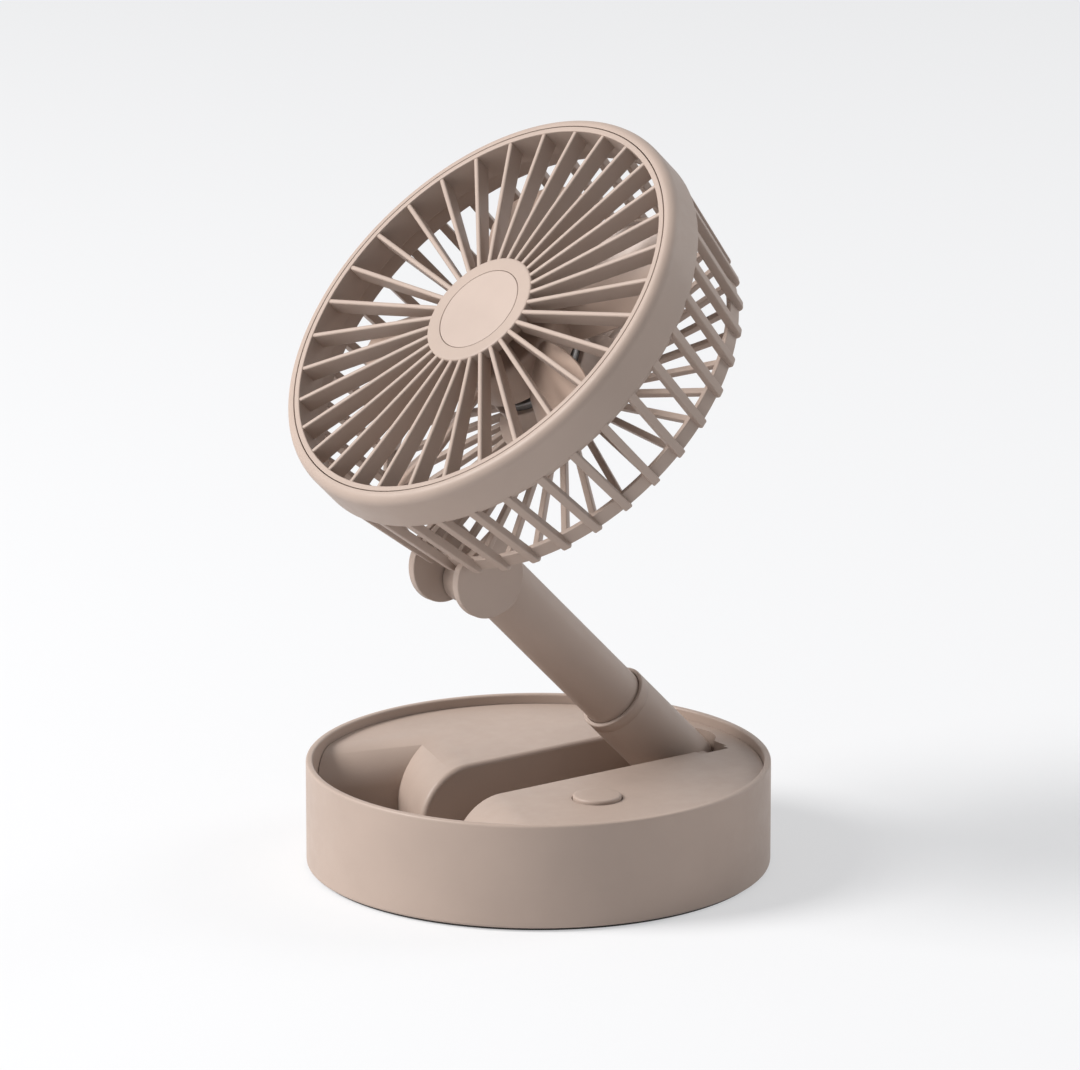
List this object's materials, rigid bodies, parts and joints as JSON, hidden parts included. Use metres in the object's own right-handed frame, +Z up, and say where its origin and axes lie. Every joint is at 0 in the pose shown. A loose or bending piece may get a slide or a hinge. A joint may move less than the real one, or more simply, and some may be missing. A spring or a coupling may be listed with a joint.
{
  "type": "folding desk fan",
  "caption": "Small desk fan: a round cup base with a sunken deck, a folding telescopic arm and a tilting round head in a ribbed cage",
  "frame": {"origin": "middle of the foot pad's underside, on the table", "axes": "+Z up, +X from the base's middle toward the arm's hinge, +Y along the hinge pins; the head faces -X and up"},
  "size_m": [0.1208, 0.1202, 0.1916],
  "materials": {
    "body_plastic": "fine satin",
    "button_plastic": "fine satin",
    "hub_plastic": "satin",
    "fan_plastic": "satin",
    "foot_rubber": "matte",
    "screw_steel": "zinc plated",
    "bracket_steel": "stamped",
    "pin_steel": "ground",
    "washer_nylon": "natural",
    "cell_wrap": "wrapped",
    "board_green": "coated",
    "socket_steel": "plated",
    "switch_black": "matte",
    "motor_steel": "plated"
  },
  "bodies": {
    "base": {"base_shell": "body_plastic", "base_deck": "body_plastic", "foot_pad": "foot_rubber", "deck_screws": "screw_steel", "hinge_bracket": "bracket_steel", "hinge_pin": "pin_steel", "hinge_washers": "washer_nylon", "battery_cell": "cell_wrap", "control_board": "board_green", "usb_socket": "socket_steel", "switch_board": "board_green", "tact_switch": "switch_black"},
    "button": {"power_button": "button_plastic", "switch_plunger": "switch_black"},
    "arm": {"outer_sleeve": "body_plastic", "sleeve_collar": "body_plastic"},
    "tube": {"inner_tube": "body_plastic", "tube_bushing": "washer_nylon"},
    "fold_core": {"tilt_core": "washer_nylon"},
    "head": {"front_ring": "body_plastic", "front_grille": "body_plastic", "hub_disc": "hub_plastic", "rear_cage": "body_plastic", "motor_can": "motor_steel", "motor_cover": "body_plastic", "motor_screws": "screw_steel", "tilt_pin": "pin_steel"},
    "rotor": {"motor_shaft": "pin_steel", "fan_impeller": "fan_plastic", "impeller_nut": "fan_plastic"}
  },
  "joints": [
    {"name": "arm_fold", "type": "hinge", "parent": "base", "child": "arm", "pos_m": [0.04546, 0, 0.01842], "axis": [0, 1, 0], "range_deg": [-45, 45]},
    {"name": "tube_slide", "type": "slide", "parent": "arm", "child": "tube", "axis": [-0.7071, 0, 0.7071], "range_m": [-0.012, 0]},
    {"name": "head_fold", "type": "hinge", "parent": "tube", "child": "fold_core", "pos_m": [-0.01797, 0, 0.0776], "axis": [0, 1, 0], "range_deg": [-90, 90]},
    {"name": "head_tilt", "type": "hinge", "parent": "fold_core", "child": "head", "pos_m": [-0.01797, 0, 0.0776], "axis": [0, 1, 0], "range_deg": [-20, 0]},
    {"name": "fan_spin", "type": "hinge", "parent": "head", "child": "rotor", "pos_m": [-0.01942, 0, 0.15026], "axis": [0.7071, 0, -0.7071], "continuous": true},
    {"name": "button_press", "type": "slide", "parent": "base", "child": "button", "axis": [0, 0, 1], "range_m": [-0.0006, 0], "stiffness_N_per_m": 1200, "springref_m": 0.0008}
  ],
  "couplings": [
    {"joint": "head_fold", "follows": "arm_fold", "ratio": -2}
  ]
}
